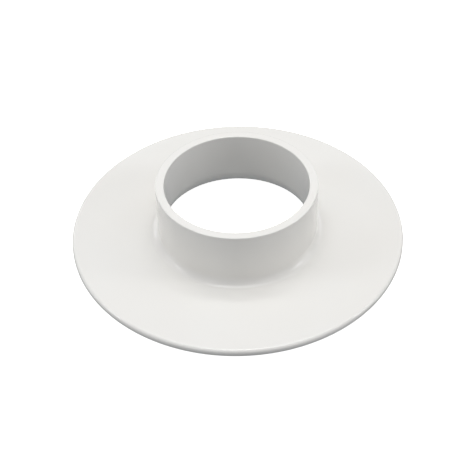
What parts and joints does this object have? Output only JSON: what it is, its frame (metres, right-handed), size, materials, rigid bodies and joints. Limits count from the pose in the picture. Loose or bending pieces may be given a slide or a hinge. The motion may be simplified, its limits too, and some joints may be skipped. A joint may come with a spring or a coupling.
{
  "type": "toilet flange",
  "caption": "Round flat plate with a short pipe collar and a straight-through bore, moulded in one piece, for joining a toilet outlet to a waste pipe.",
  "frame": {"origin": "centre of the plate's underside, on the axis of the bore", "axes": "+Z along the bore, from the plate's underside up through the collar's rim; the part is round about Z, so X and Y are any two directions across the plate"},
  "size_m": [0.1856, 0.1856, 0.0377],
  "materials": {
    "white_pvc": "moulded, semi-gloss"
  },
  "bodies": {
    "root": {"flange_body": "white_pvc"}
  },
  "joints": []
}
